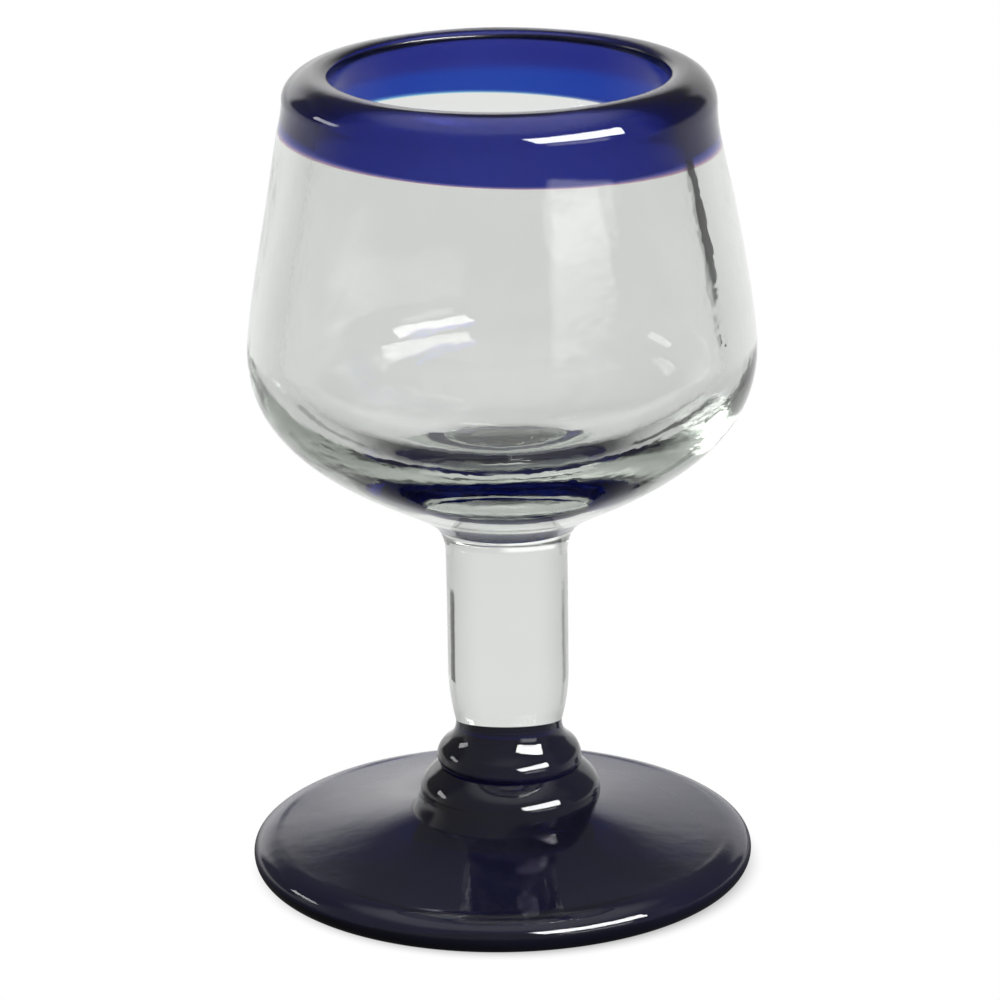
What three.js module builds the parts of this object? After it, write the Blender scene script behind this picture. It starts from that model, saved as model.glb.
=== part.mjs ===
// A hand-blown stemmed liqueur glass: a clear bowl with a cobalt lip band, on a clear stem,
// with a cobalt knop, collar and foot. Millimetres, +Z up, standing on z = 0 about the Z axis.
// Every piece is turned about that axis, and each sits on the seat of the piece below it. The seats
// are flat, except the lip band's, which slopes down to the inside.

import * as THREE from 'three';

// Foot
const FOOT_RADIUS = 31.2;           // widest point of the rounded edge
const FOOT_EDGE_HEIGHT = 2.0;       // height of that widest point
const FOOT_REST_RADIUS = 29.4;      // outer edge of the flat ring that the glass stands on
const FOOT_REST_WIDTH = 4.5;        // width of that ring
const FOOT_HOLLOW = 1.4;            // rise of the underside at its centre
const FOOT_SHOULDER_RADIUS = 28.0;  // where the rounded edge runs into the sloping top
const FOOT_SHOULDER_HEIGHT = 4.35;  // height of that shoulder
const FOOT_HEIGHT = 7.2;            // height of the flat seat in the middle of the top
const FOOT_SWEEP_RADIUS = 16.9;     // corner that the hollow sweep of the top bends round
const FOOT_SWEEP_HEIGHT = 5.3;

// Collar, the ring between foot and knop
const COLLAR_HEIGHT = 6.0;          // height of the knop's seat above the foot
const COLLAR_RADIUS = 11.2;
const COLLAR_BASE_RADIUS = 11.5;    // its seat on the foot
const COLLAR_SHOULDER_HEIGHT = 3.0; // height of the rounded upper edge
const COLLAR_LEDGE_DROP = 1.9;      // drop of the ledge round the knop, out to that edge

// Knop, the bead under the stem
const KNOP_HEIGHT = 5.6;
const KNOP_RADIUS = 9.0;
const KNOP_BASE_RADIUS = 8.5;       // its seat on the collar
const KNOP_BULGE_HEIGHT = 0.9;      // height of the widest point above the collar
const KNOP_SHOULDER_HEIGHT = 3.2;   // end of the handle above that point, above the collar
const KNOP_NECK_HEIGHT = 2.6;       // length of the handle below the stem
const KNOP_CLEARANCE = 0.3;         // between the knop's seat and the collar's rounded edge

// Stem
const STEM_LENGTH = 25.8;
const STEM_RADIUS = 7.5;
const STEM_FOOT_RADIUS = 6.6;       // its seat on the knop
const STEM_TAPER_LENGTH = 7.0;      // length over which the lower end narrows
const STEM_TOP_RADIUS = 8.8;        // the seat of the bowl
const STEM_FLARE_LENGTH = 3.8;      // length over which the upper end widens

// Bowl
const BOWL_HEIGHT = 48.4;
const BELLY_RADIUS = 31.0;          // widest point of the bowl
const BELLY_HEIGHT = 22.4;          // height of that point above the stem
const BELLY_WALL = 4.2;             // wall at the widest point
const FLOOR_THICKNESS = 9.3;        // solid glass between the stem and the inside
const FILLET_WIDTH = 3.7;           // the hollow curve where the underside leaves the stem
const FILLET_HEIGHT = 2.5;
const UNDERSIDE_SLOPE = 0.51;       // rise of the underside per millimetre outwards, past the fillet
const BAND_RADIUS = 26.65;          // outside of the bowl where the lip band begins
const BAND_WALL = 5.0;              // wall there
const BAND_LEAN = 0.21;             // inward lean of the outside there, per millimetre of height
const INSIDE_LEAN = 0.25;           // inward lean of the inside there
const BAND_DROP = 0.9;              // how much lower the band begins on the inside

// Lip band
const LIP_HEIGHT = 8.6;
const LIP_TOP_RADIUS = 22.3;        // radius of the highest line of the lip
const LIP_SHOULDER_RADIUS = 26.1;   // outside of the band where it starts to round over
const LIP_SHOULDER_HEIGHT = 4.2;    // height of the rounded outer shoulder
const MOUTH_RADIUS = 20.5;          // the opening, at its narrowest
const LIP_INNER_HEIGHT = 1.0;       // height of the rounded inner edge

// Facets
const AROUND = 40;                  // facets round the axis
const CURVE_STEPS = 6;              // facets along each curved stretch of a profile

// How far a curve's handle reaches along the curve's width or height
const ROUND_HANDLE = 0.5523;        // a quarter of an ellipse
const SOFT_HANDLE = 0.5;            // a softer sweep
const WALL_HANDLE = 0.33;           // the long upper wall of the bowl
const SHORT_HANDLE = 0.2;           // the inside of that wall at the belly
const FLOOR_HANDLE = 0.6;           // the inside floor before it turns up
const CORNER_HANDLE = 0.57;         // the upper end of that turn

const COBALT = new THREE.Color(0x1c2278);
const CLEAR = new THREE.Color(0xd6dad6);

// Heights of the seats, from the table up
const collarSeat = FOOT_HEIGHT;
const knopSeat = collarSeat + COLLAR_HEIGHT;
const stemSeat = knopSeat + KNOP_HEIGHT;
const bowlSeat = stemSeat + STEM_LENGTH;
const bandSeat = bowlSeat + BOWL_HEIGHT;

const mouthInside = BAND_RADIUS - BAND_WALL;

function glass(colour) {
  return new THREE.MeshStandardMaterial({ color: colour, roughness: 0.05, metalness: 0 });
}

// Turns a profile of radius and height about the Z axis and stands it on its seat.
function turned(name, profile, seat, colour) {
  const geometry = new THREE.LatheGeometry(profile.getPoints(CURVE_STEPS), AROUND);
  geometry.rotateX(Math.PI / 2);
  const mesh = new THREE.Mesh(geometry, glass(colour));
  mesh.name = name;
  mesh.position.z = seat;
  return mesh;
}

// A quarter round from a vertical start to a level end.
function roundOver(profile, fromRadius, fromHeight, toRadius, toHeight) {
  const rise = (toHeight - fromHeight) * ROUND_HANDLE;
  const reach = (fromRadius - toRadius) * ROUND_HANDLE;
  profile.bezierCurveTo(fromRadius, fromHeight + rise, toRadius + reach, toHeight, toRadius, toHeight);
}

// A quarter round from a level start to a vertical end.
function roundUp(profile, fromRadius, fromHeight, toRadius, toHeight) {
  const rise = (toHeight - fromHeight) * ROUND_HANDLE;
  const reach = (toRadius - fromRadius) * ROUND_HANDLE;
  profile.bezierCurveTo(fromRadius + reach, fromHeight, toRadius, toHeight - rise, toRadius, toHeight);
}

function foot() {
  const restInside = FOOT_REST_RADIUS - FOOT_REST_WIDTH;
  const slope = (FOOT_SWEEP_HEIGHT - FOOT_SHOULDER_HEIGHT) / (FOOT_SHOULDER_RADIUS - FOOT_SWEEP_RADIUS);
  const reach = (FOOT_RADIUS - FOOT_SHOULDER_RADIUS) * ROUND_HANDLE;
  const rise = (FOOT_SHOULDER_HEIGHT - FOOT_EDGE_HEIGHT) * ROUND_HANDLE;
  const profile = new THREE.Path();
  profile.moveTo(0, FOOT_HOLLOW);
  profile.bezierCurveTo(restInside * SOFT_HANDLE, FOOT_HOLLOW, restInside * (1 - SOFT_HANDLE), 0, restInside, 0);
  profile.lineTo(FOOT_REST_RADIUS, 0);
  roundUp(profile, FOOT_REST_RADIUS, 0, FOOT_RADIUS, FOOT_EDGE_HEIGHT);
  profile.bezierCurveTo(
    FOOT_RADIUS, FOOT_EDGE_HEIGHT + rise,
    FOOT_SHOULDER_RADIUS + reach, FOOT_SHOULDER_HEIGHT - reach * slope,
    FOOT_SHOULDER_RADIUS, FOOT_SHOULDER_HEIGHT,
  );
  profile.quadraticCurveTo(FOOT_SWEEP_RADIUS, FOOT_SWEEP_HEIGHT, COLLAR_BASE_RADIUS, FOOT_HEIGHT);
  profile.lineTo(0, FOOT_HEIGHT);
  return turned('foot', profile, 0, COBALT);
}

function collar() {
  const shoulder = COLLAR_HEIGHT - COLLAR_SHOULDER_HEIGHT;
  const profile = new THREE.Path();
  profile.moveTo(0, 0);
  profile.lineTo(COLLAR_BASE_RADIUS, 0);
  profile.lineTo(COLLAR_RADIUS, shoulder);
  profile.quadraticCurveTo(
    COLLAR_RADIUS, COLLAR_HEIGHT - COLLAR_LEDGE_DROP,
    KNOP_BASE_RADIUS + KNOP_CLEARANCE, COLLAR_HEIGHT,
  );
  profile.lineTo(0, COLLAR_HEIGHT);
  return turned('collar', profile, collarSeat, COBALT);
}

function knop() {
  const profile = new THREE.Path();
  profile.moveTo(0, 0);
  profile.lineTo(KNOP_BASE_RADIUS, 0);
  roundUp(profile, KNOP_BASE_RADIUS, 0, KNOP_RADIUS, KNOP_BULGE_HEIGHT);
  profile.bezierCurveTo(
    KNOP_RADIUS, KNOP_SHOULDER_HEIGHT,
    STEM_FOOT_RADIUS, KNOP_HEIGHT - KNOP_NECK_HEIGHT,
    STEM_FOOT_RADIUS, KNOP_HEIGHT,
  );
  profile.lineTo(0, KNOP_HEIGHT);
  return turned('knop', profile, knopSeat, COBALT);
}

function stem() {
  const flare = STEM_LENGTH - STEM_FLARE_LENGTH;
  const taperHandle = STEM_TAPER_LENGTH * SOFT_HANDLE;
  const profile = new THREE.Path();
  profile.moveTo(0, 0);
  profile.lineTo(STEM_FOOT_RADIUS, 0);
  profile.quadraticCurveTo(STEM_RADIUS, taperHandle, STEM_RADIUS, STEM_TAPER_LENGTH);
  profile.lineTo(STEM_RADIUS, flare);
  profile.quadraticCurveTo(STEM_RADIUS, flare + STEM_FLARE_LENGTH * ROUND_HANDLE, STEM_TOP_RADIUS, STEM_LENGTH);
  profile.lineTo(0, STEM_LENGTH);
  return turned('stem', profile, stemSeat, CLEAR);
}

function bowl() {
  const undersideRadius = STEM_TOP_RADIUS + FILLET_WIDTH;
  const filletReach = FILLET_WIDTH * SOFT_HANDLE;
  const undersideReach = (BELLY_RADIUS - undersideRadius) * ROUND_HANDLE;
  const bellyDrop = (BELLY_HEIGHT - FILLET_HEIGHT) * SOFT_HANDLE;
  const wallReach = (BOWL_HEIGHT - BELLY_HEIGHT) * WALL_HANDLE;
  const bellyRise = wallReach * SOFT_HANDLE;
  const insideRadius = BELLY_RADIUS - BELLY_WALL;
  const insideRise = wallReach * SHORT_HANDLE;
  const insideDrop = (BELLY_HEIGHT - FLOOR_THICKNESS) * CORNER_HANDLE;
  const profile = new THREE.Path();
  profile.moveTo(0, 0);
  profile.lineTo(STEM_TOP_RADIUS, 0);
  profile.quadraticCurveTo(
    undersideRadius - filletReach, FILLET_HEIGHT - filletReach * UNDERSIDE_SLOPE,
    undersideRadius, FILLET_HEIGHT,
  );
  profile.bezierCurveTo(
    undersideRadius + undersideReach, FILLET_HEIGHT + undersideReach * UNDERSIDE_SLOPE,
    BELLY_RADIUS, BELLY_HEIGHT - bellyDrop,
    BELLY_RADIUS, BELLY_HEIGHT,
  );
  profile.bezierCurveTo(
    BELLY_RADIUS, BELLY_HEIGHT + bellyRise,
    BAND_RADIUS + wallReach * BAND_LEAN, BOWL_HEIGHT - wallReach,
    BAND_RADIUS, BOWL_HEIGHT,
  );
  profile.lineTo(mouthInside, BOWL_HEIGHT - BAND_DROP);
  profile.bezierCurveTo(
    mouthInside + wallReach * INSIDE_LEAN, BOWL_HEIGHT - BAND_DROP - wallReach,
    insideRadius, BELLY_HEIGHT + insideRise,
    insideRadius, BELLY_HEIGHT,
  );
  profile.bezierCurveTo(
    insideRadius, BELLY_HEIGHT - insideDrop,
    insideRadius * FLOOR_HANDLE, FLOOR_THICKNESS,
    0, FLOOR_THICKNESS,
  );
  return turned('bowl', profile, bowlSeat, CLEAR);
}

function lipBand() {
  const shoulder = LIP_HEIGHT - LIP_SHOULDER_HEIGHT;
  const inner = LIP_HEIGHT - LIP_INNER_HEIGHT;
  const innerReach = inner * WALL_HANDLE;
  const profile = new THREE.Path();
  profile.moveTo(BAND_RADIUS, 0);
  profile.quadraticCurveTo(LIP_SHOULDER_RADIUS, shoulder * SOFT_HANDLE, LIP_SHOULDER_RADIUS, shoulder);
  roundOver(profile, LIP_SHOULDER_RADIUS, shoulder, LIP_TOP_RADIUS, LIP_HEIGHT);
  profile.bezierCurveTo(
    MOUTH_RADIUS, LIP_HEIGHT,
    MOUTH_RADIUS, inner + LIP_INNER_HEIGHT * SOFT_HANDLE,
    MOUTH_RADIUS, inner,
  );
  profile.bezierCurveTo(
    MOUTH_RADIUS, inner - innerReach,
    mouthInside - innerReach * INSIDE_LEAN, innerReach - BAND_DROP,
    mouthInside, -BAND_DROP,
  );
  profile.lineTo(BAND_RADIUS, 0);
  return turned('lip_band', profile, bandSeat, COBALT);
}

const liqueurGlass = new THREE.Group();
liqueurGlass.add(foot(), collar(), knop(), stem(), bowl(), lipBand());

export default liqueurGlass;
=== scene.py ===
"""Looks of the hand-blown liqueur glass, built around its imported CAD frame.

Each gather of glass is a smooth, slightly uneven closed mesh that replaces its CAD node. The
sizes of the glass are in millimetres until they become vertices. The stage is in metres.
"""
import math

import bpy
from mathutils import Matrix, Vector, noise


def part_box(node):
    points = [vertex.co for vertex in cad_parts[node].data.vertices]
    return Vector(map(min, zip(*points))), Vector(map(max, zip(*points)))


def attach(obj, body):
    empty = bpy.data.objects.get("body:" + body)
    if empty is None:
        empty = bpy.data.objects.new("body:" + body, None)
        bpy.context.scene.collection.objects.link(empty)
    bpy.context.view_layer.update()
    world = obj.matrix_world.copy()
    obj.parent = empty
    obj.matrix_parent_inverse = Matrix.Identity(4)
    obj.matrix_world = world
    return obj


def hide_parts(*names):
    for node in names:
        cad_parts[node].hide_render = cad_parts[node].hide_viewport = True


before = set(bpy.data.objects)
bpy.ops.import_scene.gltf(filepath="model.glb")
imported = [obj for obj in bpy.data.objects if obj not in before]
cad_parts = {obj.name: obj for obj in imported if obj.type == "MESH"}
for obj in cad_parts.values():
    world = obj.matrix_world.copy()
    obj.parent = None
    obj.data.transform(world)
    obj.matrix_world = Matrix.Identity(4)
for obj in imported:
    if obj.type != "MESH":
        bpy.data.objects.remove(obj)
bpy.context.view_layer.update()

MM = 0.001
TO_DEGREES = math.degrees(1)

# Mesh
AROUND = 192             # steps round the axis
CURVE_STEPS = 20         # steps along a curved stretch of a profile
WALL_STEPS = 44          # steps along a long wall of the bowl
REST_STEPS = 3           # steps across the ring that the foot stands on
SEAT_GAP = 0.03          # hair between two gathers, so that no faces coincide
SHARP_ANGLE = math.radians(35)

# How far a curve's handle reaches along the curve's width or height
ROUND_HANDLE = 0.5523    # a quarter of an ellipse
SOFT_HANDLE = 0.5        # a softer sweep
WALL_HANDLE = 0.33       # the long upper wall of the bowl
SHORT_HANDLE = 0.2       # the inside of that wall at the belly
FLOOR_HANDLE = 0.6       # the inside floor before it turns up
CORNER_HANDLE = 0.57     # the upper end of that turn

# Foot
FOOT_EDGE_HEIGHT = 2.0
FOOT_REST_RADIUS = 29.4
FOOT_REST_WIDTH = 4.5
FOOT_HOLLOW = 1.4
FOOT_SHOULDER_RADIUS = 28.0
FOOT_SHOULDER_HEIGHT = 4.35
FOOT_SWEEP_RADIUS = 16.9
FOOT_SWEEP_HEIGHT = 5.3

# Collar
COLLAR_RADIUS = 11.2
COLLAR_SHOULDER_HEIGHT = 3.0
COLLAR_LEDGE_DROP = 1.9
KNOP_CLEARANCE = 0.3

# Knop and stem
KNOP_BASE_RADIUS = 8.5
KNOP_BULGE_HEIGHT = 0.9
KNOP_SHOULDER_HEIGHT = 3.2
KNOP_NECK_HEIGHT = 2.6
STEM_RADIUS = 7.5
STEM_FOOT_RADIUS = 6.6
STEM_TAPER_LENGTH = 7.0
STEM_FLARE_LENGTH = 3.8

# Bowl
BELLY_HEIGHT = 22.4
BELLY_WALL = 4.2
FLOOR_THICKNESS = 9.3
FILLET_WIDTH = 3.7
FILLET_HEIGHT = 2.5
UNDERSIDE_SLOPE = 0.51
BAND_WALL = 5.0
BAND_LEAN = 0.21
INSIDE_LEAN = 0.25
BAND_DROP = 0.9

# Lip band
LIP_TOP_RADIUS = 22.3
LIP_SHOULDER_RADIUS = 26.1
LIP_SHOULDER_HEIGHT = 4.2
MOUTH_RADIUS = 20.5
LIP_INNER_HEIGHT = 1.0

# Unevenness of the hand-blown shape, in millimetres
AXIS_DRIFT = (
    (0.0, -0.5), (6.5, -0.4), (9.5, 0.6), (12.5, 0.6), (15.0, 0.45),
    (21.0, 0.5), (44.0, 0.45), (60.0, 0.2), (102.0, 0.2),
)
SEAM_RISE = 0.9          # how much higher the band's seam is inside the back wall
SEAM_REACH = 9.0         # height over which that fades out
WAVE_FADE = 4.0          # height over which the waves fade out towards a seat
WAVE_LENGTH = 14.0
WAVE_SHIFT = 100.0       # keeps the waves of two kinds of stretch from being alike


def width_of(node):
    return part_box(node)[1].x / MM


def bottom_of(node):
    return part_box(node)[0].z / MM


def top_of(node):
    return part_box(node)[1].z / MM


# The frame gives the widest radius and the seat heights
FOOT_RADIUS = width_of("foot")
COLLAR_BASE_RADIUS = width_of("collar")
KNOP_RADIUS = width_of("knop")
STEM_TOP_RADIUS = width_of("stem")
BELLY_RADIUS = width_of("bowl")
BAND_RADIUS = width_of("lip_band")
COLLAR_SEAT = bottom_of("collar")
KNOP_SEAT = bottom_of("knop")
STEM_SEAT = bottom_of("stem")
BOWL_SEAT = bottom_of("bowl")
BAND_SEAT = top_of("bowl")
LIP_TOP = top_of("lip_band")
MOUTH_INSIDE = BAND_RADIUS - BAND_WALL
SEATS = (0.0, COLLAR_SEAT, KNOP_SEAT, STEM_SEAT, BOWL_SEAT, BAND_SEAT)

# Levels that sit askew: height, the height over which that fades out, rise at the axis, rise per
# millimetre to the right and rise per millimetre to the back
TILTS = (
    (STEM_SEAT, 3.2, 0.0, 0.0, -0.19),
    (BAND_SEAT, 9.0, 0.32, -0.04, 0.012),
    (LIP_TOP, 6.0, -0.35, 0.0, 0.016),
)

# What a stretch of a profile is
HOLLOW, GROUND, OUTSIDE, INSIDE, FOOT_TOP, RIM, SEAM, SEAT = range(8)

# How high the waves of a stretch are, in millimetres
WAVES = {OUTSIDE: 0.10, INSIDE: 0.14, FOOT_TOP: 0.16, RIM: 0.05}


class Profile:
    """Half of a piece's section: radii and heights, and what each stretch between them is."""

    def __init__(self, radius, height):
        self.points = [Vector((radius, height))]
        self.kinds = []

    def add(self, point, kind):
        self.points.append(point)
        self.kinds.append(kind)

    def line(self, radius, height, kind, steps=1):
        start = self.points[-1]
        end = Vector((radius, height))
        for step in range(1, steps + 1):
            self.add(start.lerp(end, step / steps), kind)

    def curve(self, handle_a, handle_b, end, kind, steps=CURVE_STEPS):
        """A cubic curve with two handles."""
        start = self.points[-1]
        handle_a, handle_b, end = Vector(handle_a), Vector(handle_b), Vector(end)
        for step in range(1, steps + 1):
            t = step / steps
            s = 1 - t
            point = s**3 * start + 3 * s * s * t * handle_a + 3 * s * t * t * handle_b + t**3 * end
            self.add(point, kind)

    def bend(self, corner, end, kind, steps=CURVE_STEPS):
        """A quadratic curve that leaves and arrives along the lines to one corner."""
        start, corner, end = self.points[-1], Vector(corner), Vector(end)
        self.curve(start.lerp(corner, 2 / 3), end.lerp(corner, 2 / 3), end, kind, steps)

    def round_over(self, radius, height, kind):
        """A quarter round from a vertical start to a level end."""
        start = self.points[-1]
        rise = (height - start.y) * ROUND_HANDLE
        reach = (start.x - radius) * ROUND_HANDLE
        self.curve((start.x, start.y + rise), (radius + reach, height), (radius, height), kind)

    def round_up(self, radius, height, kind):
        """A quarter round from a level start to a vertical end."""
        start = self.points[-1]
        rise = (height - start.y) * ROUND_HANDLE
        reach = (radius - start.x) * ROUND_HANDLE
        self.curve((start.x + reach, start.y), (radius, height - rise), (radius, height), kind)


def foot_profile():
    rest_inside = FOOT_REST_RADIUS - FOOT_REST_WIDTH
    slope = (FOOT_SWEEP_HEIGHT - FOOT_SHOULDER_HEIGHT) / (FOOT_SHOULDER_RADIUS - FOOT_SWEEP_RADIUS)
    reach = (FOOT_RADIUS - FOOT_SHOULDER_RADIUS) * ROUND_HANDLE
    rise = (FOOT_SHOULDER_HEIGHT - FOOT_EDGE_HEIGHT) * ROUND_HANDLE
    profile = Profile(0, FOOT_HOLLOW)
    profile.curve(
        (rest_inside * SOFT_HANDLE, FOOT_HOLLOW),
        (rest_inside * (1 - SOFT_HANDLE), 0),
        (rest_inside, 0),
        HOLLOW,
    )
    profile.line(FOOT_REST_RADIUS, 0, GROUND, REST_STEPS)
    profile.round_up(FOOT_RADIUS, FOOT_EDGE_HEIGHT, OUTSIDE)
    profile.curve(
        (FOOT_RADIUS, FOOT_EDGE_HEIGHT + rise),
        (FOOT_SHOULDER_RADIUS + reach, FOOT_SHOULDER_HEIGHT - reach * slope),
        (FOOT_SHOULDER_RADIUS, FOOT_SHOULDER_HEIGHT),
        OUTSIDE,
    )
    profile.bend(
        (FOOT_SWEEP_RADIUS, FOOT_SWEEP_HEIGHT),
        (COLLAR_BASE_RADIUS, COLLAR_SEAT),
        FOOT_TOP,
        WALL_STEPS,
    )
    profile.line(0, COLLAR_SEAT, SEAM)
    return profile


def collar_profile():
    profile = Profile(0, COLLAR_SEAT + SEAT_GAP)
    profile.line(COLLAR_BASE_RADIUS, COLLAR_SEAT + SEAT_GAP, SEAM)
    profile.line(COLLAR_RADIUS, KNOP_SEAT - COLLAR_SHOULDER_HEIGHT, OUTSIDE, CURVE_STEPS)
    profile.bend(
        (COLLAR_RADIUS, KNOP_SEAT - COLLAR_LEDGE_DROP),
        (KNOP_BASE_RADIUS + KNOP_CLEARANCE, KNOP_SEAT),
        OUTSIDE,
    )
    profile.line(KNOP_BASE_RADIUS, KNOP_SEAT, OUTSIDE)
    profile.line(0, KNOP_SEAT, SEAM)
    return profile


def knop_profile():
    profile = Profile(0, KNOP_SEAT + SEAT_GAP)
    profile.line(KNOP_BASE_RADIUS, KNOP_SEAT + SEAT_GAP, SEAM)
    profile.round_up(KNOP_RADIUS, KNOP_SEAT + KNOP_BULGE_HEIGHT, OUTSIDE)
    profile.curve(
        (KNOP_RADIUS, KNOP_SEAT + KNOP_SHOULDER_HEIGHT),
        (STEM_FOOT_RADIUS, STEM_SEAT - KNOP_NECK_HEIGHT),
        (STEM_FOOT_RADIUS, STEM_SEAT),
        OUTSIDE,
    )
    profile.line(0, STEM_SEAT, SEAT)
    return profile


def stem_profile():
    taper = STEM_SEAT + STEM_TAPER_LENGTH
    flare = BOWL_SEAT - STEM_FLARE_LENGTH
    profile = Profile(0, STEM_SEAT + SEAT_GAP)
    profile.line(STEM_FOOT_RADIUS, STEM_SEAT + SEAT_GAP, SEAT)
    profile.bend(
        (STEM_RADIUS, STEM_SEAT + STEM_TAPER_LENGTH * SOFT_HANDLE),
        (STEM_RADIUS, taper),
        OUTSIDE,
    )
    profile.line(STEM_RADIUS, flare, OUTSIDE, CURVE_STEPS)
    profile.bend(
        (STEM_RADIUS, flare + STEM_FLARE_LENGTH * ROUND_HANDLE),
        (STEM_TOP_RADIUS, BOWL_SEAT),
        OUTSIDE,
    )
    profile.line(0, BOWL_SEAT, SEAT)
    return profile


def bowl_profile():
    belly = BOWL_SEAT + BELLY_HEIGHT
    floor = BOWL_SEAT + FLOOR_THICKNESS
    underside_radius = STEM_TOP_RADIUS + FILLET_WIDTH
    underside = BOWL_SEAT + FILLET_HEIGHT
    fillet_reach = FILLET_WIDTH * SOFT_HANDLE
    underside_reach = (BELLY_RADIUS - underside_radius) * ROUND_HANDLE
    belly_drop = (belly - underside) * SOFT_HANDLE
    wall_reach = (BAND_SEAT - belly) * WALL_HANDLE
    belly_rise = wall_reach * SOFT_HANDLE
    inside_radius = BELLY_RADIUS - BELLY_WALL
    inside_rise = wall_reach * SHORT_HANDLE
    inside_drop = (belly - floor) * CORNER_HANDLE
    profile = Profile(0, BOWL_SEAT + SEAT_GAP)
    profile.line(STEM_TOP_RADIUS, BOWL_SEAT + SEAT_GAP, SEAT)
    profile.bend(
        (underside_radius - fillet_reach, underside - fillet_reach * UNDERSIDE_SLOPE),
        (underside_radius, underside),
        OUTSIDE,
    )
    profile.curve(
        (underside_radius + underside_reach, underside + underside_reach * UNDERSIDE_SLOPE),
        (BELLY_RADIUS, belly - belly_drop),
        (BELLY_RADIUS, belly),
        OUTSIDE,
        WALL_STEPS,
    )
    profile.curve(
        (BELLY_RADIUS, belly + belly_rise),
        (BAND_RADIUS + wall_reach * BAND_LEAN, BAND_SEAT - wall_reach),
        (BAND_RADIUS, BAND_SEAT),
        OUTSIDE,
        WALL_STEPS,
    )
    profile.line(MOUTH_INSIDE, BAND_SEAT - BAND_DROP, SEAM)
    profile.curve(
        (MOUTH_INSIDE + wall_reach * INSIDE_LEAN, BAND_SEAT - BAND_DROP - wall_reach),
        (inside_radius, belly + inside_rise),
        (inside_radius, belly),
        INSIDE,
        WALL_STEPS,
    )
    profile.curve(
        (inside_radius, belly - inside_drop),
        (inside_radius * FLOOR_HANDLE, floor),
        (0, floor),
        INSIDE,
        WALL_STEPS,
    )
    return profile


def lip_profile():
    shoulder = LIP_TOP - LIP_SHOULDER_HEIGHT
    inner = LIP_TOP - LIP_INNER_HEIGHT
    seat = BAND_SEAT + SEAT_GAP
    inner_reach = (inner - seat) * WALL_HANDLE
    profile = Profile(MOUTH_INSIDE, seat - BAND_DROP)
    profile.line(BAND_RADIUS, seat, SEAM)
    profile.bend(
        (LIP_SHOULDER_RADIUS, seat + (shoulder - seat) * SOFT_HANDLE),
        (LIP_SHOULDER_RADIUS, shoulder),
        OUTSIDE,
    )
    profile.round_over(LIP_TOP_RADIUS, LIP_TOP, OUTSIDE)
    profile.curve(
        (MOUTH_RADIUS, LIP_TOP),
        (MOUTH_RADIUS, inner + LIP_INNER_HEIGHT * SOFT_HANDLE),
        (MOUTH_RADIUS, inner),
        RIM,
    )
    profile.curve(
        (MOUTH_RADIUS, inner - inner_reach),
        (MOUTH_INSIDE - inner_reach * INSIDE_LEAN, seat - BAND_DROP + inner_reach),
        (MOUTH_INSIDE, seat - BAND_DROP),
        RIM,
    )
    return profile


def smooth(low, high, value):
    t = min(1.0, max(0.0, (value - low) / (high - low)))
    return t * t * (3 - 2 * t)


def drift(height):
    """How far the axis wanders to the right at a height."""
    for (low, low_side), (high, high_side) in zip(AXIS_DRIFT, AXIS_DRIFT[1:]):
        if height <= high:
            return low_side + (high_side - low_side) * smooth(low, high, height)
    return AXIS_DRIFT[-1][1]


def hand_made(point):
    """Moves a point of any piece as the axis wanders, and as the seats, seams and lip sit askew."""
    rise = 0.0
    for height, reach, lift, to_right, to_back in TILTS:
        near = 1 - smooth(0, reach, abs(point.z - height))
        rise += near * (lift + to_right * point.x + to_back * point.y)
    # Near the band's seam the depth goes from 0 outside the wall to 1 inside it
    depth = max(0.0, BAND_RADIUS - math.hypot(point.x, point.y)) / BAND_WALL
    near = 1 - smooth(0, SEAM_REACH, abs(point.z - BAND_SEAT))
    rise += near * SEAM_RISE * depth * (1 + point.y / MOUTH_INSIDE) / 2
    return Vector((point.x + drift(point.z), point.y, point.z + rise))


def wave(point, kind):
    """How far the surface swells at a point, fading out at the seats."""
    if kind not in WAVES:
        return 0.0
    fade = min(smooth(0, WAVE_FADE, abs(point.z - seat)) for seat in SEATS)
    shift = Vector((0, 0, WAVE_SHIFT * kind))
    return WAVES[kind] * fade * noise.noise(point / WAVE_LENGTH + shift)


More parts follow.
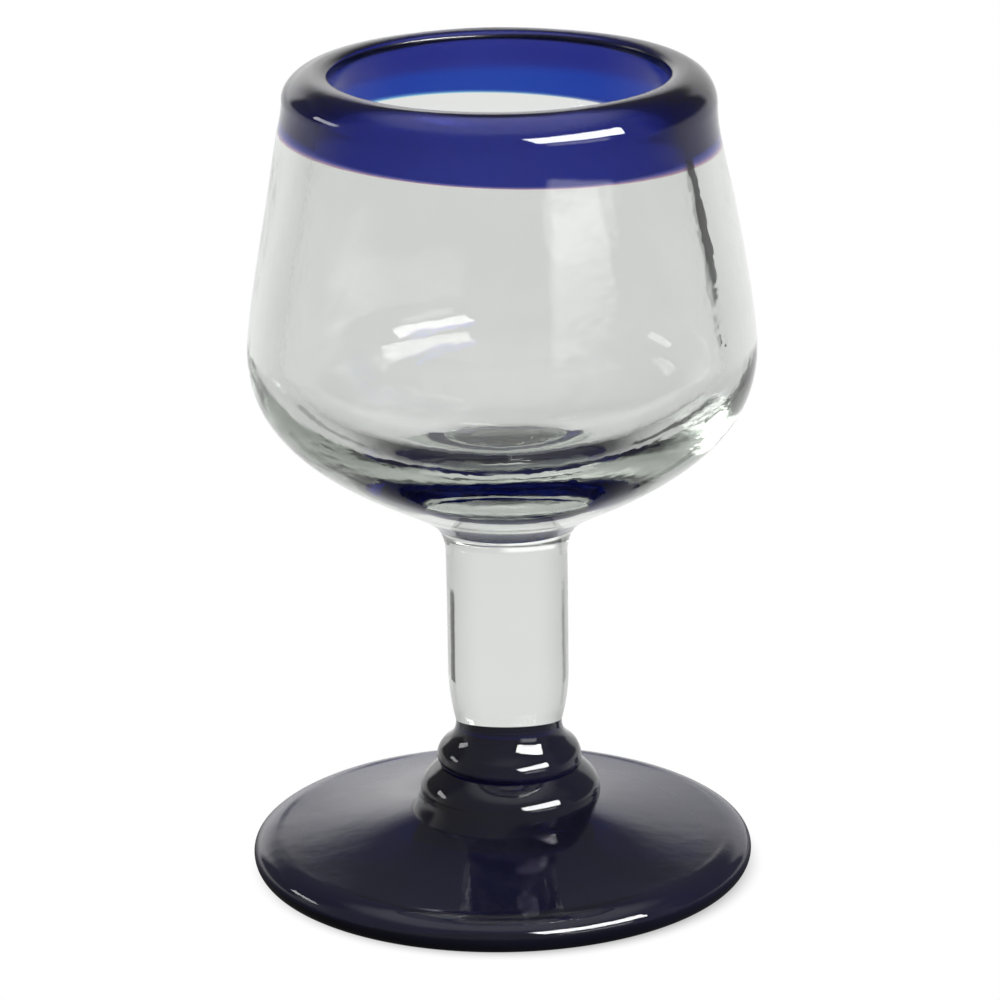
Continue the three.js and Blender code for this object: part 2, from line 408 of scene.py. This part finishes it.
def turned(name, profile, material, node, closed=False):
    """Turns a profile into a closed mesh and stands it in for its CAD node."""
    points, kinds = profile.points, profile.kinds
    count = len(points)
    rings, vertices = [], []
    for i, point in enumerate(points):
        kind = kinds[min(i, len(kinds) - 1)]
        before = points[max(i - 1, 0)]
        after = points[min(i + 1, count - 1)]
        along = (after - before).normalized()
        outward = Vector((along.y, -along.x))
        ring = []
        for k in range(AROUND if point.x > 0 else 1):
            angle = 2 * math.pi * k / AROUND
            spot = Vector((point.x * math.cos(angle), point.x * math.sin(angle), point.y))
            swell = outward * wave(spot, kind)
            radius = point.x + (swell.x if point.x > 0 else 0)
            spot = Vector((radius * math.cos(angle), radius * math.sin(angle), point.y + swell.y))
            ring.append(len(vertices))
            vertices.append(hand_made(spot) * MM)
        rings.append(ring)
    faces, stretches = [], []
    last = count if closed else count - 1
    for i in range(last):
        low, high = rings[i], rings[(i + 1) % count]
        kind = kinds[i] if i < len(kinds) else SEAM
        for k in range(AROUND):
            after = (k + 1) % AROUND
            if len(low) == 1:
                faces.append((low[0], high[after], high[k]))
            elif len(high) == 1:
                faces.append((low[k], low[after], high[0]))
            else:
                faces.append((low[k], low[after], high[after], high[k]))
            stretches.append(kind)
    mesh = bpy.data.meshes.new(name)
    mesh.from_pydata(vertices, [], faces)
    for mark, marked in (("fused", SEAM), ("ground", GROUND), ("rim", RIM)):
        values = [float(kind == marked) for kind in stretches]
        mesh.attributes.new(mark, "FLOAT", "FACE").data.foreach_set("value", values)
    mesh.shade_smooth()
    mesh.set_sharp_from_angle(angle=SHARP_ANGLE)
    mesh.materials.append(material)
    piece = bpy.data.objects.new(name, mesh)
    bpy.context.scene.collection.objects.link(piece)
    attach(piece, "root")
    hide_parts(node)


# Materials
GLASS_IOR = 1.5
AIR_IOR = 1.0
CLOUD_LENGTH = 11.0      # size of the faint clouds in the colour, in millimetres
CLOUD_START = 0.35       # the noise at which a cloud starts and is full
CLOUD_FULL = 0.7
SMEAR_LENGTH = 6.0       # size of the duller patches of the surface, in millimetres
SMEAR_START = 0.45       # the noise at which a dull patch starts and is full
SMEAR_FULL = 0.75
RIPPLE_LENGTH = 3.5      # size of the fine ripples of the surface, in millimetres
NOISE_DETAIL = 2.0
PAINTED_LIGHT_TOP = 96.8 * MM     # painted light: the lower back of the band gets a paler colour
PAINTED_LIGHT_BOTTOM = 93.1 * MM
PAINTED_LIGHT_FADE = 0.8 * MM

# Roughness of the polished surface, its dull patches, the lip inside and the ground resting ring
POLISHED, DULL, WORN, GRIND = 0.0, 0.09, 0.2, 0.4

# Sockets of the mix node when it mixes colours, which share their names with others
MIX_FACTOR, MIX_A, MIX_B, MIX_RESULT = 0, 6, 7, 2


def math_node(tree, operation, *values):
    node = tree.nodes.new("ShaderNodeMath")
    node.operation = operation
    for socket, value in zip(node.inputs, values):
        if isinstance(value, bpy.types.NodeSocket):
            tree.links.new(value, socket)
        else:
            socket.default_value = value
    return node.outputs["Value"]


def step_node(tree, value, low, high, at_low, at_high):
    """A smooth step from one value to another."""
    node = tree.nodes.new("ShaderNodeMapRange")
    node.interpolation_type = "SMOOTHSTEP"
    tree.links.new(value, node.inputs["Value"])
    for name, number in (("From Min", low), ("From Max", high), ("To Min", at_low), ("To Max", at_high)):
        if isinstance(number, bpy.types.NodeSocket):
            tree.links.new(number, node.inputs[name])
        else:
            node.inputs[name].default_value = number
    return node.outputs["Result"]


def noise_node(tree, place, length):
    """Soft noise from 0 to 1 whose clouds have a length in millimetres."""
    node = tree.nodes.new("ShaderNodeTexNoise")
    node.inputs["Scale"].default_value = 1 / (length * MM)
    node.inputs["Detail"].default_value = NOISE_DETAIL
    tree.links.new(place, node.inputs["Vector"])
    return node.outputs["Fac"]


def mark_node(tree, name):
    """The mark that the faces of a mesh carry under a name."""
    node = tree.nodes.new("ShaderNodeAttribute")
    node.attribute_name = name
    return node.outputs["Fac"]


def mix_colour(tree, factor, colour_a, colour_b):
    node = tree.nodes.new("ShaderNodeMix")
    node.data_type = "RGBA"
    tree.links.new(factor, node.inputs[MIX_FACTOR])
    for socket, colour in ((node.inputs[MIX_A], colour_a), (node.inputs[MIX_B], colour_b)):
        if isinstance(colour, bpy.types.NodeSocket):
            tree.links.new(colour, socket)
        else:
            socket.default_value = (*colour, 1)
    return node.outputs[MIX_RESULT]


def painted_light_back(tree, place):
    """Mask of the lower back of the lip band, where the colour is painted paler as painted light."""
    split = tree.nodes.new("ShaderNodeSeparateXYZ")
    tree.links.new(place, split.inputs[0])
    under = step_node(tree, split.outputs["Z"], PAINTED_LIGHT_TOP - PAINTED_LIGHT_FADE, PAINTED_LIGHT_TOP + PAINTED_LIGHT_FADE, 1.0, 0.0)
    over = step_node(tree, split.outputs["Z"], PAINTED_LIGHT_BOTTOM - PAINTED_LIGHT_FADE, PAINTED_LIGHT_BOTTOM + PAINTED_LIGHT_FADE, 0.0, 1.0)
    back = step_node(tree, split.outputs["Y"], -PAINTED_LIGHT_FADE, PAINTED_LIGHT_FADE, 0.0, 1.0)
    return math_node(tree, "MULTIPLY", math_node(tree, "MULTIPLY", under, over), back)


def glass_material(name, tint, cloud, absorbed, density, haze, ripple, painted_light=None):
    """Glass with the colour that its thickness takes from the light. Fused faces don't bend light.

    The surface is fire-polished, with faint clouds, duller patches and ripples. It is worn inside the
    lip, and ground dull where the glass stands. Haze is the share of the light that the surface
    scatters, and the height of the ripples is in millimetres.
    """
    material = bpy.data.materials.new(name)
    material.use_nodes = True
    tree = material.node_tree
    shader = tree.nodes["Principled BSDF"]
    place = tree.nodes.new("ShaderNodeTexCoord").outputs["Object"]
    clouds = noise_node(tree, place, CLOUD_LENGTH)
    clouds = step_node(tree, clouds, CLOUD_START, CLOUD_FULL, 0.0, 1.0)
    colour = mix_colour(tree, clouds, tint, cloud)
    # Painted light: a paler colour on the lower back of the lip band
    if painted_light:
        colour = mix_colour(tree, painted_light_back(tree, place), colour, painted_light)
    tree.links.new(colour, shader.inputs["Base Color"])
    shader.inputs["Transmission Weight"].default_value = 1.0 - haze
    fused = mark_node(tree, "fused")
    smears = noise_node(tree, place, SMEAR_LENGTH)
    smears = step_node(tree, smears, SMEAR_START, SMEAR_FULL, POLISHED, DULL)
    ground = math_node(tree, "MULTIPLY", mark_node(tree, "ground"), GRIND)
    worn = math_node(tree, "MULTIPLY", mark_node(tree, "rim"), WORN)
    open_face = math_node(tree, "SUBTRACT", 1.0, fused)
    rough = math_node(tree, "MAXIMUM", smears, math_node(tree, "MAXIMUM", ground, worn))
    rough = math_node(tree, "MULTIPLY", rough, open_face)
    tree.links.new(rough, shader.inputs["Roughness"])
    shader.inputs["IOR"].default_value = GLASS_IOR      # what counts where the link isn't read
    tree.links.new(step_node(tree, fused, 0.0, 1.0, GLASS_IOR, AIR_IOR), shader.inputs["IOR"])
    ripples = tree.nodes.new("ShaderNodeBump")
    ripples.inputs["Distance"].default_value = ripple * MM
    tree.links.new(noise_node(tree, place, RIPPLE_LENGTH), ripples.inputs["Height"])
    tree.links.new(ripples.outputs["Normal"], shader.inputs["Normal"])
    inside = tree.nodes.new("ShaderNodeVolumeAbsorption")
    inside.inputs["Color"].default_value = (*absorbed, 1)
    inside.inputs["Density"].default_value = density
    tree.links.new(inside.outputs["Volume"], tree.nodes["Material Output"].inputs["Volume"])
    return material


clear_glass = glass_material(
    "clear_glass", tint=(0.90, 0.905, 0.897), cloud=(0.875, 0.882, 0.872),
    absorbed=(0.20, 0.30, 0.185), density=12.0, haze=0.0, ripple=0.03,
)
# The cobalt band carries painted light: a paler colour on its lower back
cobalt_glass = glass_material(
    "cobalt_glass", tint=(1.0, 0.62, 0.70), cloud=(0.94, 0.55, 0.64), painted_light=(0.6, 1.0, 1.0),
    absorbed=(0.37, 0.51, 0.844), density=1150.0, haze=0.0, ripple=0.02,
)
dark_cobalt_glass = glass_material(
    "dark_cobalt_glass", tint=(0.4, 0.4, 1.0), cloud=(0.3, 0.3, 0.75),
    absorbed=(0.55, 0.53, 0.78), density=1000.0, haze=0.0085, ripple=0.03,
)

turned("foot_glass", foot_profile(), dark_cobalt_glass, "foot")
turned("collar_glass", collar_profile(), dark_cobalt_glass, "collar")
turned("knop_glass", knop_profile(), dark_cobalt_glass, "knop")
turned("stem_glass", stem_profile(), clear_glass, "stem")
turned("bowl_glass", bowl_profile(), clear_glass, "bowl")
turned("lip_band_glass", lip_profile(), cobalt_glass, "lip_band", closed=True)

# Stage: a pale floor that glows, with painted shade and shadows, a pale room, a black flag and two soft
# lights
FLOOR_SIZE = 6.0
CAMERA_SEES = 1.0        # brightness of the floor and room to the camera
SWEEP = 0.91             # what the glass sees low behind it
SIDES = 0.68             # what it sees low beside it
FRONT = 0.28             # what it sees low before it
FLOOR_GLOW = 1.05        # how many times as bright the floor is as the low room over it
ROOM = 0.28              # what it sees higher up
DARK = 0.15              # the darkest parts of the room
CEILING = 0.9
PAINTED_SHADE = 0.12             # painted shade: how bright the floor glows under the foot
# Where the painted shade under the foot fades to the full glow
PAINTED_SHADE_INNER = 27.0 * MM
PAINTED_SHADE_OUTER = 32.5 * MM
PAINTED_SHADOW_OUTER = 60.0 * MM  # how far the painted shadow on the floor reaches, which only the glass sees
FLAG_BLACK = 0.03        # a black flag that the glass sees to its right
FLAG_AZIMUTH = math.radians(58)
FLAG_DISTANCE = 0.189
FLAG_WIDTH = 0.034
FLAG_BOTTOM = 0.0638
FLAG_TOP = 0.105

LIGHT_DISTANCE = 0.9
LIT_POINT = Vector((0, 0, 0.06))

# Where the low room fades from one brightness to the next, in degrees to either side of straight
# behind the glass, and where it ends, in degrees of elevation
SWEEP_SIDE = 15.0
SIDES_START = 60.0
SIDES_END = 62.0
FRONT_START = 105.0
SWEEP_TOP = 26.0
SWEEP_FADE = 8.0
ALL_ROUND = 400.0        # half width of a card that goes all the way round

# Parts of the room that differ from the rest. In degrees: azimuth from straight behind the glass
# to the right, elevation, half width, half height and softness. Then the brightness.
CARDS = (
    (0.0, 41.0, 80.0, 15.0, 5.0, DARK),         # the dark room above the sweep
    (-18.0, 11.0, 20.0, 8.0, 5.0, 1.4),         # the brightest part of the sweep
    (0.0, 90.0, ALL_ROUND, 34.0, 8.0, CEILING),
    (138.0, 11.5, 17.0, 4.0, 2.0, 3.2),         # the glow under the key light
)

# Dark gaps beside the sweep that only the reflections show, in the same order
GAPS = (
    (-54.0, 16.0, 20.0, 12.0, 4.0, DARK),
    (66.0, 19.0, 28.0, 16.0, 4.0, DARK),
)

# Painted shadows on the floor that only the glass sees: azimuth in degrees and distance in
# millimetres, half sizes and softness in the same units, and brightness
PAINTED_FLOOR_SHADOWS = (
    (55.0, 75.0, 6.0, 30.0, 2.0, 0.12),
    (-57.0, 75.0, 5.0, 30.0, 2.0, 0.45),
)


def to_camera(tree, shown, otherwise):
    """One value for what the camera sees straight on, another for everything else."""
    path = tree.nodes.new("ShaderNodeLightPath")
    camera_ray = path.outputs["Is Camera Ray"]
    unseen = math_node(tree, "SUBTRACT", 1.0, camera_ray)
    return math_node(
        tree, "ADD",
        math_node(tree, "MULTIPLY", camera_ray, shown),
        math_node(tree, "MULTIPLY", unseen, otherwise),
    )


def around(tree, azimuth):
    """What the glass sees low round it, from the pale sweep behind to the dark room before it."""
    aside = math_node(tree, "ABSOLUTE", azimuth)
    behind = step_node(tree, aside, SWEEP_SIDE, SIDES_START, SWEEP, SIDES)
    return step_node(tree, aside, SIDES_END, FRONT_START, behind, FRONT)


def card_node(tree, azimuth, elevation, light, card, share=1.0):
    """Lays a card over what is seen so far, for a share of the rays."""
    middle, height, half_width, half_height, soft, brightness = card
    aside = math_node(tree, "ABSOLUTE", math_node(tree, "SUBTRACT", azimuth, middle))
    above = math_node(tree, "ABSOLUTE", math_node(tree, "SUBTRACT", elevation, height))
    across = step_node(tree, aside, half_width - soft, half_width + soft, 1.0, 0.0)
    along = step_node(tree, above, half_height - soft, half_height + soft, 1.0, 0.0)
    mask = math_node(tree, "MULTIPLY", math_node(tree, "MULTIPLY", across, along), share)
    return math_node(tree, "MULTIPLY_ADD", mask, math_node(tree, "SUBTRACT", brightness, light), light)


def make_world():
    world = bpy.data.worlds.new("room")
    bpy.context.scene.world = world
    world.use_nodes = True
    tree = world.node_tree
    direction = tree.nodes.new("ShaderNodeSeparateXYZ")
    tree.links.new(tree.nodes.new("ShaderNodeTexCoord").outputs["Generated"], direction.inputs[0])
    x, y, z = direction.outputs
    elevation = math_node(tree, "MULTIPLY", math_node(tree, "ARCSINE", z), TO_DEGREES)
    azimuth = math_node(tree, "MULTIPLY", math_node(tree, "ARCTAN2", x, y), TO_DEGREES)
    low = around(tree, azimuth)
    light = step_node(tree, elevation, SWEEP_TOP - SWEEP_FADE, SWEEP_TOP + SWEEP_FADE, low, ROOM)
    for card in CARDS:
        light = card_node(tree, azimuth, elevation, light, card)
    reflected = tree.nodes.new("ShaderNodeLightPath").outputs["Is Reflection Ray"]
    for gap in GAPS:
        light = card_node(tree, azimuth, elevation, light, gap, reflected)
    strength = to_camera(tree, CAMERA_SEES, light)
    tree.links.new(strength, tree.nodes["Background"].inputs["Strength"])
    tree.nodes["Background"].inputs["Color"].default_value = (1, 1, 1, 1)


def make_floor():
    half = FLOOR_SIZE / 2
    corners = [(-half, -half, 0), (half, -half, 0), (half, half, 0), (-half, half, 0)]
    mesh = bpy.data.meshes.new("floor")
    mesh.from_pydata(corners, [], [(0, 1, 2, 3)])
    floor = bpy.data.objects.new("floor", mesh)
    bpy.context.scene.collection.objects.link(floor)
    material = bpy.data.materials.new("floor")
    material.use_nodes = True
    tree = material.node_tree
    tree.nodes.remove(tree.nodes["Principled BSDF"])
    glow = tree.nodes.new("ShaderNodeEmission")
    tree.links.new(glow.outputs["Emission"], tree.nodes["Material Output"].inputs["Surface"])
    place = tree.nodes.new("ShaderNodeTexCoord").outputs["Object"]
    split = tree.nodes.new("ShaderNodeSeparateXYZ")
    tree.links.new(place, split.inputs[0])
    away = tree.nodes.new("ShaderNodeVectorMath")
    away.operation = "LENGTH"
    tree.links.new(place, away.inputs[0])
    # Painted shade under the foot that the camera sees, and a wider painted shadow that only the glass
    # sees
    painted_contact_shade = step_node(tree, away.outputs["Value"], PAINTED_SHADE_INNER, PAINTED_SHADE_OUTER, PAINTED_SHADE, CAMERA_SEES)
    painted_shadow = step_node(tree, away.outputs["Value"], PAINTED_SHADE_INNER, PAINTED_SHADOW_OUTER, PAINTED_SHADE, 1.0)
    turn = math_node(tree, "ARCTAN2", split.outputs["X"], split.outputs["Y"])
    azimuth = math_node(tree, "MULTIPLY", turn, TO_DEGREES)
    distance = math_node(tree, "MULTIPLY", away.outputs["Value"], 1 / MM)
    lit = math_node(tree, "MULTIPLY", around(tree, azimuth), FLOOR_GLOW)
    # Painted shadows on the floor, seen only by the glass
    for mark in PAINTED_FLOOR_SHADOWS:
        lit = card_node(tree, azimuth, distance, lit, mark)
    strength = to_camera(tree, painted_contact_shade, math_node(tree, "MULTIPLY", painted_shadow, lit))
    tree.links.new(strength, glow.inputs["Strength"])
    mesh.materials.append(material)


def make_flag():
    """A black flag to the right behind the glass, which the camera and reflections don't see."""
    half = FLAG_WIDTH / 2
    corners = [(-half, 0, FLAG_BOTTOM), (half, 0, FLAG_BOTTOM), (half, 0, FLAG_TOP), (-half, 0, FLAG_TOP)]
    mesh = bpy.data.meshes.new("flag")
    mesh.from_pydata(corners, [], [(0, 1, 2, 3)])
    flag = bpy.data.objects.new("flag", mesh)
    flag.location = (FLAG_DISTANCE * math.sin(FLAG_AZIMUTH), FLAG_DISTANCE * math.cos(FLAG_AZIMUTH), 0)
    flag.rotation_euler = (0, 0, -FLAG_AZIMUTH)
    flag.visible_camera = False
    flag.visible_glossy = False
    bpy.context.scene.collection.objects.link(flag)
    material = bpy.data.materials.new("flag")
    material.use_nodes = True
    tree = material.node_tree
    tree.nodes.remove(tree.nodes["Principled BSDF"])
    black = tree.nodes.new("ShaderNodeEmission")
    black.inputs["Strength"].default_value = FLAG_BLACK
    tree.links.new(black.outputs["Emission"], tree.nodes["Material Output"].inputs["Surface"])
    mesh.materials.append(material)


def soft_light(name, azimuth, elevation, width, height, radiance):
    """A softbox that faces the glass. Angles are in degrees, the azimuth to the right of the camera."""
    light = bpy.data.lights.new(name, "AREA")
    light.shape = "RECTANGLE"
    light.size = 2 * LIGHT_DISTANCE * math.tan(math.radians(width / 2))
    light.size_y = 2 * LIGHT_DISTANCE * math.tan(math.radians(height / 2))
    light.energy = radiance * math.pi * light.size * light.size_y
    lamp = bpy.data.objects.new(name, light)
    a, e = math.radians(azimuth), math.radians(elevation)
    away = Vector((math.sin(a) * math.cos(e), -math.cos(a) * math.cos(e), math.sin(e)))
    lamp.location = LIT_POINT + away * LIGHT_DISTANCE
    lamp.rotation_mode = "QUATERNION"
    lamp.rotation_quaternion = away.to_track_quat("Z", "Y")
    lamp.visible_camera = False
    bpy.context.scene.collection.objects.link(lamp)


make_world()
make_floor()
make_flag()
soft_light("key", azimuth=44.0, elevation=31.5, width=48.0, height=21.0, radiance=24.0)
soft_light("left", azimuth=-105.0, elevation=19.0, width=18.0, height=8.0, radiance=5.0)

# Camera
CAMERA_SIDE = -0.30 * MM
CAMERA_BACK = 534.4 * MM
CAMERA_HEIGHT = 216.9 * MM
CAMERA_PITCH = math.radians(17.60)
CAMERA_ROLL = math.radians(-0.69)
CAMERA_LENS = 164.4
CAMERA_SENSOR = 36.0

camera_data = bpy.data.cameras.new("camera")
camera_data.sensor_width = CAMERA_SENSOR
camera_data.lens = CAMERA_LENS
camera = bpy.data.objects.new("camera", camera_data)
camera.location = (CAMERA_SIDE, -CAMERA_BACK, CAMERA_HEIGHT)
camera.rotation_mode = "ZXY"
camera.rotation_euler = (math.pi / 2 - CAMERA_PITCH, 0, CAMERA_ROLL)
bpy.context.scene.collection.objects.link(camera)
bpy.context.scene.camera = camera

# How the picture is made
BOUNCES = 24
GLOSSY_BOUNCES = 16

scene = bpy.context.scene
scene.view_settings.view_transform = "Standard"
scene.cycles.max_bounces = BOUNCES
scene.cycles.transmission_bounces = BOUNCES
scene.cycles.glossy_bounces = GLOSSY_BOUNCES
scene.cycles.use_denoising = True
